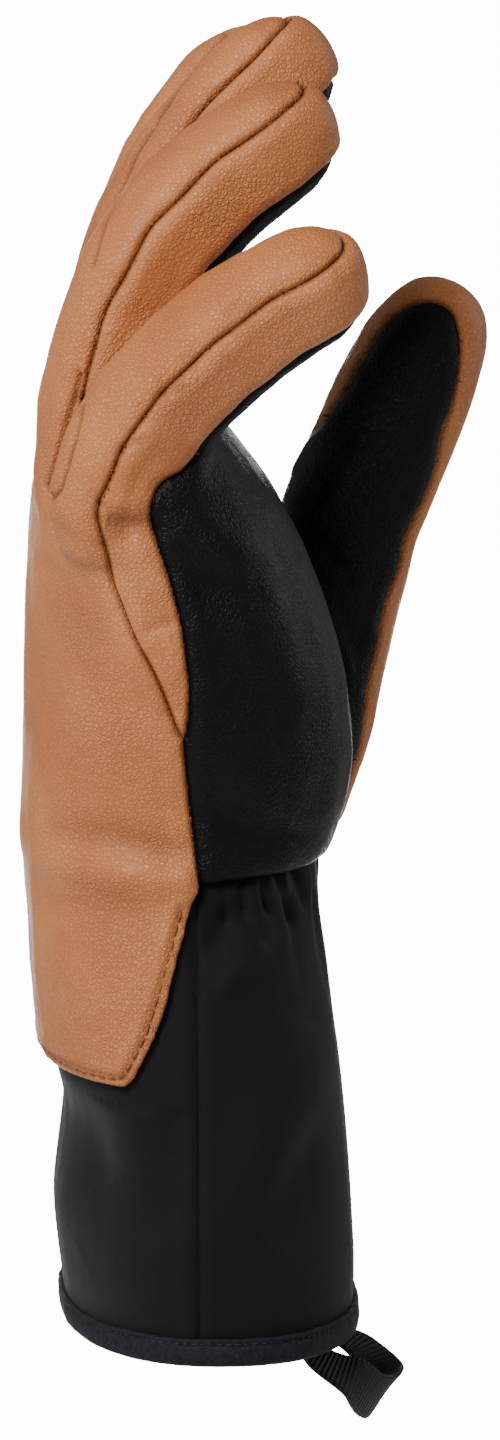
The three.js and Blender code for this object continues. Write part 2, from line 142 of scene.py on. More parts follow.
# The edge of the thumb's black pad as seen by the camera, across and up in millimetres
PAD_EDGE = ((15.6, 170.7), (19.7, 177.6), (23.5, 183.1), (28.1, 189.5), (31.3, 195.3),
            (35.7, 202.5), (38.6, 205.8), (42.1, 208.0), (46.0, 209.0), (49.6, 208.1),
            (51.8, 205.4), (52.7, 200.8), (52.4, 193.8), (50.5, 185.1), (47.6, 177.2),
            (44.6, 169.2), (36, 130), (5, 130))
# The tan tongue round the thumb's far flank: its near and far edge, counted round the flank
# from the outline towards the viewer
TONGUE_HEIGHTS = (168, 177, 184, 190, 196, 202, 206)
TONGUE_NEAR = (-3.0, 1.2, 1.6, 2.0, 2.6, 3.4, 4.5)
TONGUE_FAR = (-3.2, -4.0, -5.0, -6.0, -7.0, -9.0, -12.0)
TONGUE_FOOT = 166 * MM
PAD_FOOT = (168 * MM, 178 * MM)
THUMB_RADIUS = 12 * MM
NEAR_RIM = 1.8 * MM
NEAR_RIM_FOOT = (112 * MM, 130 * MM)


def merged_copy(panels, grow):
    """One mesh from copies of solids, each grown a little so that the gaps between them close."""
    joined = bmesh.new()
    for name in [node for nodes in panels.values() for node in nodes]:
        part = bmesh.new()
        part.from_mesh(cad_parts[name].data)
        bmesh.ops.remove_doubles(part, verts=part.verts, dist=1e-5)
        part.normal_update()
        for v in part.verts:
            v.co += v.normal * grow
        piece_mesh = bpy.data.meshes.new(name + "_copy")
        part.to_mesh(piece_mesh)
        part.free()
        joined.from_mesh(piece_mesh)
        bpy.data.meshes.remove(piece_mesh)
    return joined


def add_lid(joined, height, thickness):
    """A flat lid across the rim at a height, so that a hollow form has an outer skin of its own."""
    rim = [v.co.copy() for v in joined.verts if abs(v.co.z - height) < 0.6 * MM]
    lid = bmesh.new()
    for point in rim:
        lid.verts.new((point.x, point.y, height))
        lid.verts.new((point.x, point.y, height + thickness))
    hull = bmesh.ops.convex_hull(lid, input=lid.verts)
    spare = [v for v in hull["geom_interior"] if isinstance(v, bmesh.types.BMVert)]
    bmesh.ops.delete(lid, geom=spare, context="VERTS")
    lid_mesh = bpy.data.meshes.new("lid")
    lid.to_mesh(lid_mesh)
    lid.free()
    joined.from_mesh(lid_mesh)
    bpy.data.meshes.remove(lid_mesh)


def apply_modifier(piece, kind, **settings):
    bpy.context.view_layer.objects.active = piece
    modifier = piece.modifiers.new(kind.lower(), kind)
    for key, value in settings.items():
        setattr(modifier, key, value)
    bpy.ops.object.modifier_apply(modifier=modifier.name)


def new_piece(name, mesh):
    piece = bpy.data.objects.new(name, mesh)
    bpy.context.scene.collection.objects.link(piece)
    return piece


def keep_largest(piece):
    """Keep the biggest connected part of a mesh, which is the outer skin."""
    part = bmesh.new()
    part.from_mesh(piece.data)
    part.verts.ensure_lookup_table()
    group = np.full(len(part.verts), -1)
    sizes = []
    for start in part.verts:
        if group[start.index] >= 0:
            continue
        stack = [start]
        group[start.index] = len(sizes)
        count = 0
        while stack:
            v = stack.pop()
            count += 1
            for edge in v.link_edges:
                other = edge.other_vert(v)
                if group[other.index] < 0:
                    group[other.index] = len(sizes)
                    stack.append(other)
        sizes.append(count)
    best = int(np.argmax(sizes))
    bmesh.ops.delete(part, geom=[v for v in part.verts if group[v.index] != best], context="VERTS")
    part.to_mesh(piece.data)
    part.free()


def points_of(mesh):
    co = np.empty(len(mesh.vertices) * 3, np.float32)
    mesh.vertices.foreach_get("co", co)
    return co.reshape(-1, 3).astype(float)


def normals_of(mesh):
    no = np.empty(len(mesh.vertices) * 3, np.float32)
    mesh.vertices.foreach_get("normal", no)
    return no.reshape(-1, 3).astype(float)


def set_points(mesh, co):
    mesh.vertices.foreach_set("co", co.astype(np.float32).ravel())
    mesh.update()


def node_trees(panels):
    trees = []
    for nodes in panels.values():
        part = bmesh.new()
        for name in nodes:
            part.from_mesh(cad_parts[name].data)
        trees.append(BVHTree.FromBMesh(part))
        part.free()
    return trees


def reach_fields(co, trees, farthest):
    """How far each point lies from each solid, up to a farthest reach."""
    fields = np.full((len(co), len(trees)), farthest)
    for t, tree in enumerate(trees):
        for i, point in enumerate(co):
            distance = tree.find_nearest(point, farthest)[3]
            if distance is not None:
                fields[i, t] = distance
    return fields


def smooth_fields(fields, edges, rounds):
    count = len(fields)
    degree = np.bincount(edges.ravel(), minlength=count)[:, None]
    for _ in range(rounds):
        total = np.zeros_like(fields)
        for column in range(fields.shape[1]):
            total[:, column] = (
                np.bincount(edges[:, 0], fields[edges[:, 1], column], minlength=count)
                + np.bincount(edges[:, 1], fields[edges[:, 0], column], minlength=count))
        fields = 0.5 * fields + 0.5 * total / np.maximum(degree, 1)
    return fields


def edges_of(mesh):
    pairs = np.empty(len(mesh.edges) * 2, np.int64)
    mesh.edges.foreach_get("vertices", pairs)
    return pairs.reshape(-1, 2)


def step_up(value, low, high):
    share = np.clip((value - low) / (high - low), 0, 1)
    return share * share * (3 - 2 * share)


def leg_gap(across, up, start, end):
    """Distance of points to one straight leg of a line drawn in the view, and the share along it."""
    a, b = np.array(start) * MM, np.array(end) * MM
    span = b - a
    share = np.clip(((across - a[0]) * span[0] + (up - a[1]) * span[1]) / (span @ span), 0, 1)
    return np.hypot(across - a[0] - share * span[0], up - a[1] - share * span[1]), share


def outline_distance(across, up, outline):
    """Distance from points of the view to a drawn closed outline, negative inside it."""
    nearest = np.full(len(across), 1.0)
    inside = np.zeros(len(across), bool)
    for start, end in zip(outline, outline[1:] + outline[:1]):
        nearest = np.minimum(nearest, leg_gap(across, up, start, end)[0])
        (ax, ay), (bx, by) = np.array(start) * MM, np.array(end) * MM
        if ay != by:
            crossing = ax + (up - ay) / (by - ay) * (bx - ax)
            inside ^= ((ay > up) != (by > up)) & (across < crossing)
    return np.where(inside, -nearest, nearest)


def wrap_thumb(co, no, fields, names):
    """The thumb's tan back wraps over its tip and both flanks, and leaves a rounded black pad."""
    front, back = names.index("thumb_front"), names.index("thumb_back")
    turned = no @ np.array(view_right)
    facing = no @ np.array(view_back)
    near_rim = step_up(turned, -0.1, 0.5) * step_up(co[:, 2], *NEAR_RIM_FOOT)
    fields[:, front] += NEAR_RIM * near_rim
    drawn = outline_distance(co @ np.array(view_right), co @ np.array(view_up), PAD_EDGE)
    on_thumb = np.minimum(fields[:, front], fields[:, back]) < 3 * MM
    height = step_up(co[:, 2], *PAD_FOOT) * on_thumb
    seen = step_up(facing, -0.02, 0.12) * height
    fields[:, front] += seen * (np.maximum(drawn, 0) - fields[:, front])
    fields[:, back] += seen * (np.maximum(-drawn, 0) - fields[:, back])
    heights = np.array(TONGUE_HEIGHTS) * MM
    round_flank = THUMB_RADIUS * np.arcsin(np.clip(facing, -1, 1))
    near_edge = np.interp(co[:, 2], heights, np.array(TONGUE_NEAR) * MM)
    far_edge = np.interp(co[:, 2], heights, np.array(TONGUE_FAR) * MM)
    tongue = np.minimum(near_edge - round_flank, round_flank - far_edge)
    flank = (turned < 0.1) & on_thumb & (co[:, 2] > TONGUE_FOOT)
    unseen = (1 - seen) * flank
    fields[:, front] += unseen * np.maximum(tongue, 0)
    lowered = np.minimum(fields[:, back], np.maximum(-tongue, 0))
    fields[:, back] += unseen * (lowered - fields[:, back])
    return fields


# Seams as seen by the camera, across and up in millimetres: the V in which the ring finger's seam
# and the little finger's run together, and the seam along the index finger's back
DRAWN_SEAMS = (
    ((-30.4, 166.7), (-31.9, 169.5), (-30.9, 172.6), (-28.8, 178.4), (-26.6, 186.3), (-25.0, 192.0)),
    ((-30.4, 166.7), (-29.0, 168.5), (-27.6, 173.5), (-25.4, 180.0), (-24.1, 187.2)),
    ((4.4, 263.2), (0.9, 258.9), (-4.3, 252.4), (-9.2, 245.2), (-13.9, 236.9), (-17.6, 228.5),
     (-20.5, 221.3), (-22.7, 214.1)),
)


def seam_distance(points, facing, seams):
    """Distance of each point to the drawn seams, on the side that faces the viewer."""
    across = points @ np.array(view_right)
    up = points @ np.array(view_up)
    nearest = np.full(len(points), 1.0)
    for line in seams:
        for start, end in zip(line, line[1:]):
            nearest = np.minimum(nearest, leg_gap(across, up, start, end)[0])
    return np.where(facing > 0.05, nearest, 1.0)


def cut_panels(skin, panels, lidded):
    """Cut a skin along the seams between the solids that it covers.
    Returns the points, the triangles, each triangle's panel and each point's seam distance."""
    trees = node_trees(panels)
    co = points_of(skin.data)
    fields = reach_fields(co, trees, FARTHEST_REACH)
    if "thumb_front" in panels:
        fields = wrap_thumb(co, normals_of(skin.data), fields, list(panels))
    fields = smooth_fields(fields, edges_of(skin.data), FIELD_SMOOTHING)
    part = bmesh.new()
    part.from_mesh(skin.data)
    layers = [part.verts.layers.float.new(f"reach_{i}") for i in range(len(panels))]
    part.verts.ensure_lookup_table()
    for v in part.verts:
        row = fields[v.index]
        for i, layer in enumerate(layers):
            v[layer] = row[i]
    if lidded:
        lid = [v for v in part.verts if min(v[layer] for layer in layers) > 1.5 * MM
               and abs(v.co.z - WRIST) < 6 * MM]
        bmesh.ops.delete(part, geom=lid, context="VERTS")

    def seam_gap(v):
        nearest = sorted(v[layer] for layer in layers)
        return nearest[1] - nearest[0]

    drawn = seam_distance(np.array([v.co for v in part.verts]),
                          np.array([v.normal for v in part.verts]) @ np.array(view_back),
                          DRAWN_SEAMS)
    close = {v for v, gap in zip(part.verts, drawn) if min(seam_gap(v), gap) < SEAM_ZONE}
    near_edges = [e for e in part.edges if e.verts[0] in close and e.verts[1] in close]
    bmesh.ops.subdivide_edges(part, edges=near_edges, cuts=1, use_grid_fill=True)
    bmesh.ops.triangulate(part, faces=part.faces)
    owner = {v: min(range(len(layers)), key=lambda i: v[layers[i]]) for v in part.verts}
    on_seam = set()
    for edge in list(part.edges):
        a, b = edge.verts
        i, j = owner[a], owner[b]
        if i == j:
            continue
        at_a = a[layers[j]] - a[layers[i]]
        at_b = b[layers[i]] - b[layers[j]]
        share = min(0.9, max(0.1, at_a / max(at_a + at_b, 1e-9)))
        _, added = bmesh.utils.edge_split(edge, a, share)
        on_seam.add(added)
    for face in list(part.faces):
        marks = [v for v in face.verts if v in on_seam]
        if len(marks) >= 2:
            try:
                bmesh.utils.face_split(face, marks[0], marks[1])
            except ValueError:
                pass
    for face in list(part.faces):
        marks = [v for v in face.verts if v in on_seam]
        if len(face.verts) > 3 and len(marks) == 3:
            try:
                bmesh.utils.face_split(face, marks[1], marks[2])
            except ValueError:
                pass
    bmesh.ops.triangulate(part, faces=part.faces)
    for _ in range(SEAM_FAIRING):
        moved = {}
        for v in on_seam:
            beside = [e.other_vert(v) for e in v.link_edges if e.other_vert(v) in on_seam]
            if len(beside) == 2:
                moved[v] = v.co * 0.5 + (beside[0].co + beside[1].co) * 0.25
        for v, place in moved.items():
            v.co = place
    part.verts.index_update()
    points = np.array([v.co for v in part.verts])
    gaps = np.array([0.0 if v in on_seam else seam_gap(v) for v in part.verts])
    triangles = np.array([[v.index for v in f.verts] for f in part.faces])
    panel = np.zeros(len(triangles), int)
    for k, face in enumerate(part.faces):
        votes = [owner[v] for v in face.verts if v not in on_seam]
        if votes:
            panel[k] = max(set(votes), key=votes.count)
        else:
            middle = face.calc_center_median()
            panel[k] = int(np.argmin([tree.find_nearest(middle)[3] for tree in trees]))
    part.free()
    return points, triangles, panel, gaps


def point_normals(points, triangles):
    a, b, c = (points[triangles[:, k]] for k in range(3))
    face = np.cross(b - a, c - a)
    normal = np.zeros_like(points)
    for k in range(3):
        for axis in range(3):
            normal[:, axis] += np.bincount(triangles[:, k], face[:, axis], minlength=len(points))
    return normal / np.maximum(np.linalg.norm(normal, axis=1, keepdims=True), 1e-12)


def panel_piece(name, points, triangles, seam):
    """A separate panel from its own triangles, with the painted shade of its seams and creases kept on
    its points.
    """
    used = np.unique(triangles)
    place = np.full(len(points), -1)
    place[used] = np.arange(len(used))
    mesh = bpy.data.meshes.new(name)
    mesh.from_pydata(points[used].tolist(), [], place[triangles].tolist())
    shade = mesh.attributes.new("painted_groove_shade", "FLOAT", "POINT")
    shade.data.foreach_set("value", seam[used].astype(np.float32))
    mesh.polygons.foreach_set("use_smooth", [True] * len(mesh.polygons))
    mesh.update()
    return new_piece(name, mesh)


form = merged_copy(PANELS, SEAM_CLOSE)
add_lid(form, WRIST, 3 * MM)
skin_mesh = bpy.data.meshes.new("hand_skin")
form.to_mesh(skin_mesh)
form.free()
skin = new_piece("hand_skin", skin_mesh)
apply_modifier(skin, "REMESH", mode="VOXEL", voxel_size=SKIN_GRID, adaptivity=0)
keep_largest(skin)
apply_modifier(skin, "SMOOTH", factor=0.5, iterations=SKIN_SMOOTHING)
set_points(skin.data, points_of(skin.data) + normals_of(skin.data) * SKIN_PUSH)
points, triangles, panel, gaps = cut_panels(skin, PANELS, True)
bpy.data.objects.remove(skin)

# Seam valleys, puffed edges, and the folds that a hand leaves in the leather. Each fold is a
# line seen from the little finger's side, in millimetres across and up from the hem's middle.
VALLEY_DEPTH = 1.0 * MM
VALLEY_WIDTH = 0.48 * MM
PUFF_HEIGHT = 0.45 * MM
PUFF_PLACE = 2.6 * MM
PUFF_WIDTH = 1.8 * MM
FOLDS = (
    # name, height (- for a crease), half width, points (across, up)
    ("wrist_ridge", 1.5, 3.6, ((-38, 93), (-26, 92.5), (-12, 90.5), (-1, 88.5))),
    ("above_wrist", -1.1, 3.4, ((-31, 99.5), (-20, 98.5), (-10, 96), (-3, 94))),
    ("below_wrist", -0.7, 3.0, ((-34, 86), (-22, 85), (-9, 83.5))),
    ("little_elbow", -1.6, 2.5, ((-19.5, 161.6), (-16, 161.2), (-12.6, 160.9), (-9, 160))),
    ("palm_high_fold", -1.1, 2.8, ((10.6, 168), (15.6, 157), (21, 146), (24, 134))),
    ("palm_ridge", 0.8, 4.0, ((5, 158), (11, 146), (15, 131))),
    ("palm_low_fold", -1.2, 2.4, ((2, 104), (9, 101), (17, 100.5))),
    ("little_elbow_top", 0.9, 2.6, ((-18, 166.5), (-13, 165.8), (-8, 166.5))),
    ("below_elbow", 0.6, 2.4, ((-16, 156), (-11, 155))),
    ("palm_fold", -1.6, 3.4, ((-8, 154), (0, 149), (8, 148), (14.5, 153))),
    ("palm_fold_top", 1.2, 3.6, ((-5, 163), (3, 158), (11, 157))),
    ("palm_dent", -0.9, 5.0, ((4, 136), (10, 128), (18, 121))),
    ("palm_heel", 0.8, 4.5, ((2, 118), (10, 108), (19, 103))),
    ("palm_heel_crease", -0.9, 1.6, ((4, 101), (12, 97.5), (21, 99.5))),
    ("back_dent", -0.7, 5.0, ((-31, 150), (-24, 140), (-20, 128))),
    ("back_swell", 0.6, 6.0, ((-28, 126), (-22, 116))),
    ("gusset_dent", -0.6, 2.2, ((-11, 148), (-6, 140))),
    ("gusset_pleat", -0.5, 1.1, ((-12, 140), (-6, 142))),
    ("seam_pucker_1", -0.5, 0.9, ((-22, 166), (-18, 164))),
    ("seam_pucker_2", -0.5, 0.9, ((-17, 176), (-11, 179))),
    ("seam_pucker_3", -0.45, 0.9, ((-9, 187), (-3, 189))),
    ("seam_pucker_4", -0.45, 0.9, ((5, 203), (9, 208))),
    ("ring_pucker", -0.5, 1.0, ((-27, 186), (-22, 189))),
    ("knuckle_crease_1", -0.5, 1.4, ((-31, 163), (-26, 158))),
    ("knuckle_crease_2", -0.4, 1.2, ((-34, 156), (-29, 152))),
    ("thumb_crease_1", -0.8, 2.2, ((26, 146), (32, 137))),
    ("thumb_crease_2", -0.6, 2.0, ((24, 158), (31, 150))),
)


def fold_lift(points, facing, folds):
    """Lift of each point over the folds' lines, on the side that faces the viewer."""
    across = points @ np.array(view_right)
    up = points @ np.array(view_up)
    seen = np.clip(facing * 2.2, 0, 1)
    lift = np.zeros(len(points))
    for _, height, width, line in folds:
        nearest = np.full(len(points), 1.0)
        along = np.zeros(len(points))
        total = len(line) - 1
        for k in range(total):
            gap, share = leg_gap(across, up, line[k], line[k + 1])
            closer = gap < nearest
            nearest = np.where(closer, gap, nearest)
            along = np.where(closer, (k + share) / total, along)
        ends = 0.25 + 0.75 * np.sin(np.pi * np.clip(along, 0.0, 1.0)) ** 0.5
        lift += height * MM * ends * np.exp(-(nearest / (width * MM)) ** 2)
    return lift * seen


normals = point_normals(points, triangles)
gaps = np.minimum(gaps, seam_distance(points, normals @ np.array(view_back), DRAWN_SEAMS))
valley = np.exp(-(gaps / VALLEY_WIDTH) ** 2)
puff = np.exp(-((gaps - PUFF_PLACE) / PUFF_WIDTH) ** 2)
sway = np.array([noise.noise(Vector(p) * 42) for p in points])
ripple = np.array([noise.noise(Vector((p[0] * 150, p[1] * 150, p[2] * 110))) for p in points])
pucker = np.array([noise.noise(Vector(p) * 260) for p in points])
near_seam = np.exp(-(gaps / (3.5 * MM)) ** 2)
folded = fold_lift(points, normals @ np.array(view_back), FOLDS)
lift = (-VALLEY_DEPTH * valley + PUFF_HEIGHT * puff + sway * 0.5 * MM + ripple * 0.22 * MM
        + pucker * near_seam * 0.32 * MM + folded)

# The flap is the lower end of the back's leather and hangs free over the cuff. Its edge is
# turned under and sewn down 2 mm in, which leaves a groove, a puffed rim and a stitch row.
FLAP_BOTTOM = 56 * MM
FLAP_LENGTH = 42 * MM
CUFF_DEPTH = 59.5 * MM
FLAP_EDGE = ((0.00, -0.335), (0.03, -0.305), (0.12, -0.285), (0.26, -0.235), (0.45, -0.190),
             (0.70, -0.140), (0.88, -0.105))
FLAP_INSET = 2.1 * MM
STITCH_STEP = 2.9 * MM


def even_steps(line, step):
    """Places at even steps along a line of points."""
    line = np.array(line)
    legs = np.linalg.norm(np.diff(line, axis=0), axis=1)
    run = np.concatenate([[0], np.cumsum(legs)])
    marks = np.linspace(0, run[-1], max(2, int(run[-1] / step)))
    return np.stack([np.interp(marks, run, line[:, k]) for k in range(3)], axis=1)


tree = BVHTree.FromPolygons([Vector(p) for p in points + normals * lift[:, None]],
                            triangles.tolist())
edge_line = []
for share, spread in reversed(FLAP_EDGE):
    start = Vector((spread * CUFF_DEPTH - FLAP_INSET, -0.08, FLAP_BOTTOM + share * FLAP_LENGTH))
    start.z = max(start.z, FLAP_BOTTOM + FLAP_INSET)
    hit = tree.ray_cast(start, Vector((0, 1, 0)))[0]
    if hit:
        edge_line.append(hit)
corner_turn = math.atan2(-edge_line[-1].y, -edge_line[-1].x)
for k in range(1, 48):
    turn = corner_turn * (1 - 2 * k / 48)
    height = FLAP_BOTTOM + FLAP_INSET
    outside = Vector((-0.09 * math.cos(turn), -0.09 * math.sin(turn), height))
    hit = tree.ray_cast(outside, Vector((0, 0, height)) - outside)[0]
    if hit:
        edge_line.append(hit)
for share, spread in FLAP_EDGE:
    start = Vector((spread * CUFF_DEPTH - FLAP_INSET, 0.08, FLAP_BOTTOM + share * FLAP_LENGTH))
    start.z = max(start.z, FLAP_BOTTOM + FLAP_INSET)
    hit = tree.ray_cast(start, Vector((0, -1, 0)))[0]
    if hit:
        edge_line.append(hit)
flap_stitch_line = even_steps(edge_line, STITCH_STEP / 4)
low = np.where(points[:, 2] < 100 * MM)[0]
to_line = np.full(len(points), 1.0)
for i in low:
    to_line[i] = np.min(np.sum((flap_stitch_line - points[i]) ** 2, axis=1)) ** 0.5
calm = np.exp(-(to_line / (4 * MM)) ** 2)
lift -= calm * (sway * 0.5 * MM + ripple * 0.22 * MM)
lift += (-0.5 * MM * np.exp(-(to_line / (0.7 * MM)) ** 2)
         + 0.4 * MM * np.exp(-((to_line - 1.6 * MM) / (0.8 * MM)) ** 2))
points = points + normals * lift[:, None]


def srgb(r, g, b):
    """A screen colour from 0 to 255 as the linear colour that a shader takes."""
    def linear(c):
        c /= 255
        return c / 12.92 if c <= 0.04045 else ((c + 0.055) / 1.055) ** 2.4
    return (linear(r), linear(g), linear(b), 1.0)


# Tan and black leather, dyed and lightly polished: pebbles of about 0.8 mm with fine creases between
# them, a smoother and lighter skin in patches. Painted shade darkens the colour down in the creases
# between the pebbles, and in the seams, folds and the flap's stitch groove.
def leather(name, light, dark, painted_seam_shade_colour, roughness, grain, specular):
    paint = bpy.data.materials.new(name)
    paint.use_nodes = True
    tree = paint.node_tree
    nodes, links = tree.nodes, tree.links
    shader = nodes["Principled BSDF"]
    place = nodes.new("ShaderNodeTexCoord")

    def texture(kind, scale, detail=2.0):
        node = nodes.new(kind)
        node.inputs["Scale"].default_value = scale
        node.inputs["Detail"].default_value = detail
        links.new(place.outputs["Object"], node.inputs["Vector"])
        return node

    warp = texture("ShaderNodeTexNoise", 420, 1)
    bend = nodes.new("ShaderNodeVectorMath")
    bend.operation = "MULTIPLY_ADD"
    bend.inputs[1].default_value = (0.0011, 0.0011, 0.0011)
    links.new(warp.outputs["Color"], bend.inputs[0])
    links.new(place.outputs["Object"], bend.inputs[2])
    cells = nodes.new("ShaderNodeTexVoronoi")
    cells.feature = "DISTANCE_TO_EDGE"
    cells.inputs["Scale"].default_value = 1080
    links.new(bend.outputs["Vector"], cells.inputs["Vector"])
    pebble = nodes.new("ShaderNodeMapRange")
    pebble.interpolation_type = "SMOOTHSTEP"
    pebble.inputs["From Min"].default_value = 0.0
    pebble.inputs["From Max"].default_value = 0.28
    links.new(cells.outputs["Distance"], pebble.inputs["Value"])
    patch = texture("ShaderNodeTexNoise", 38, 4)
    fine = texture("ShaderNodeTexNoise", 3600, 2)
    crease = texture("ShaderNodeTexNoise", 330, 4)
    amount = texture("ShaderNodeTexNoise", 55, 2)
    spread = nodes.new("ShaderNodeMapRange")
    spread.inputs["From Min"].default_value = 0.35
    spread.inputs["From Max"].default_value = 0.65
    spread.inputs["To Min"].default_value = 0.35
    spread.inputs["To Max"].default_value = 1.0
    links.new(amount.outputs["Fac"], spread.inputs["Value"])
    height = nodes.new("ShaderNodeMath")
    height.operation = "MULTIPLY"
    links.new(pebble.outputs["Result"], height.inputs[0])
    links.new(spread.outputs["Result"], height.inputs[1])
    ramp = nodes.new("ShaderNodeValToRGB")
    ramp.color_ramp.elements[0].position = 0.3
    ramp.color_ramp.elements[0].color = dark
    ramp.color_ramp.elements[1].position = 0.7
    ramp.color_ramp.elements[1].color = light
    links.new(patch.outputs["Fac"], ramp.inputs["Fac"])
    # Painted shade in the grain: the colour is darkened to 0.8 down in the creases between the
    # pebbles.
    painted_pit_shade = nodes.new("ShaderNodeMapRange")
    painted_pit_shade.inputs["To Min"].default_value = 0.80
    painted_pit_shade.inputs["To Max"].default_value = 1.0
    links.new(pebble.outputs["Result"], painted_pit_shade.inputs["Value"])
    pit_shaded_tone = nodes.new("ShaderNodeMix")
    pit_shaded_tone.data_type = "RGBA"
    pit_shaded_tone.blend_type = "MULTIPLY"
    pit_shaded_tone.inputs["Factor"].default_value = 1.0
    links.new(ramp.outputs["Color"], pit_shaded_tone.inputs["A"])
    links.new(painted_pit_shade.outputs["Result"], pit_shaded_tone.inputs["B"])
    # Painted shade: the colour is blended towards a dark seam colour by the shade kept on the points,
    # in the seams, folds and the flap's groove.
    seam = nodes.new("ShaderNodeAttribute")
    seam.attribute_name = "painted_groove_shade"
    blend = nodes.new("ShaderNodeMix")
    blend.data_type = "RGBA"
    blend.inputs["B"].default_value = painted_seam_shade_colour
    links.new(seam.outputs["Fac"], blend.inputs["Factor"])
    links.new(pit_shaded_tone.outputs["Result"], blend.inputs["A"])
    links.new(blend.outputs["Result"], shader.inputs["Base Color"])
    shader.inputs["Roughness"].default_value = roughness
    shader.inputs["Specular IOR Level"].default_value = specular
    normal = None
    for source, strength, distance in ((height.outputs["Value"], grain, 0.00035),
                                       (fine.outputs["Fac"], 0.18, 0.0001),
                                       (crease.outputs["Fac"], 0.35, 0.0007)):
        bump = nodes.new("ShaderNodeBump")
        bump.inputs["Strength"].default_value = strength
        bump.inputs["Distance"].default_value = distance
        links.new(source, bump.inputs["Height"])
        if normal:
            links.new(normal, bump.inputs["Normal"])
        normal = bump.outputs["Normal"]
    links.new(normal, shader.inputs["Normal"])
    return paint


# The third colour of each leather is the painted shade put down in its seams and creases.
tan = leather("tan_leather", srgb(213, 136, 82), srgb(192, 114, 65), srgb(78, 40, 18), 0.46, 0.6, 0.38)
black = leather("black_leather", srgb(8, 8, 10), srgb(5, 5, 7), srgb(1, 1, 2), 0.5, 0.5, 0.2)
BLACK_PANELS = ("palm_panel", "thumb_front")
# Painted shade kept on the points: darker down in the seam valleys, in the folds' creases and along
# the flap's stitch groove.
painted_groove_shade = (np.exp(-(gaps / (0.4 * MM)) ** 2) * 0.75
              + np.clip(-folded / (4 * MM), 0, 0.3) + np.exp(-(to_line / (0.6 * MM)) ** 2) * 0.35)
for k, (name, nodes) in enumerate(PANELS.items()):
    piece = panel_piece("leather_" + name, points, triangles[panel == k], painted_groove_shade)
    group = piece.vertex_groups.new(name="thickness")
    heights = points_of(piece.data)[:, 2]
    group.add([int(i) for i in np.where(heights > WRIST - 1 * MM)[0]], 1.0, "REPLACE")
    apply_modifier(piece, "SOLIDIFY", thickness=LEATHER_THICKNESS, offset=-1,
                   vertex_group="thickness", thickness_vertex_group=0.08)
    piece.data.materials.append(black if name in BLACK_PANELS else tan)
    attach(piece, "root")
    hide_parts(*nodes)

# The cuff: two halves of black softshell, a matte knit with a thin fleece behind it. They are
# sewn together down each side, gathered at the wrist and left wide and loose at the hem.
CUFF = {"cuff_back": ("cuff_back",), "cuff_palm": ("cuff_palm",)}
CUFF_GRID = 1.2 * MM
form = merged_copy(CUFF, SEAM_CLOSE)
cuff_mesh = bpy.data.meshes.new("cuff_skin")
form.to_mesh(cuff_mesh)
form.free()
cuff_skin = new_piece("cuff_skin", cuff_mesh)
apply_modifier(cuff_skin, "REMESH", mode="VOXEL", voxel_size=CUFF_GRID, adaptivity=0)
keep_largest(cuff_skin)
apply_modifier(cuff_skin, "SMOOTH", factor=0.5, iterations=40)
points, triangles, panel, gaps = cut_panels(cuff_skin, CUFF, False)
bpy.data.objects.remove(cuff_skin)

CUFF_FOLDS = (
    # name, height (- for a crease), half width, points (across, up)
    ("seam_hollow", -2.2, 3.2, ((-8, 66), (-2, 74), (3, 80), (9, 84))),
    ("seam_ridge", 2.1, 3.0, ((3, 66), (7, 72), (12, 77))),
    ("back_dent", -2.2, 6.0, ((-32, 44), (-26, 36), (-22, 27))),
    ("back_swell", 1.4, 7.0, ((-24, 52), (-16, 44), (-13, 33))),
    ("hem_dent", -1.3, 6.0, ((-26, 14), (-14, 20), (-6, 24))),
    ("broad_fold", 1.7, 6.5, ((4, 22), (12, 34), (20, 48), (24, 60))),
    ("broad_hollow", -1.7, 6.0, ((14, 16), (21, 28), (26, 42))),
    ("side_hollow", -1.1, 4.0, ((-5, 58), (-6, 42), (-7, 28))),
    ("gather_1", -1.5, 0.9, ((3.5, 87), (4.5, 80))),
    ("gather_2", -1.7, 0.9, ((7.5, 88.5), (9.5, 80))),
    ("gather_3", -1.4, 0.8, ((11.5, 89), (13.5, 82.5))),
    ("gather_4", -1.7, 0.9, ((15.5, 90), (17.5, 81))),
    ("gather_5", -1.4, 0.8, ((19, 91.5), (20.5, 84))),
    ("gather_6", -1.3, 0.7, ((22, 93), (23, 86))),
)
CUFF_TOP = 97.7 * MM


def gather_lift(p):
    """Gathers run down from the wrist on the palm side and fade out."""
    turn = math.atan2(p[1] / 46, p[0] / 28)
    palm_side = max(0.0, math.cos(turn)) ** 0.6
    near_wrist = max(0.0, min(1.0, (p[2] - 66 * MM) / (32 * MM))) ** 1.4
    sway = noise.noise(Vector((turn * 2.1, 0, p[2] * 30)))
    gathers = math.sin(turn * 19 + sway * 4) * 0.75 + math.sin(turn * 33 + sway * 6) * 0.35
    broad = noise.noise(Vector((turn * 1.4, 5, p[2] * 22 - turn * 0.9)))
    return (gathers * palm_side * near_wrist + broad * 0.9) * MM


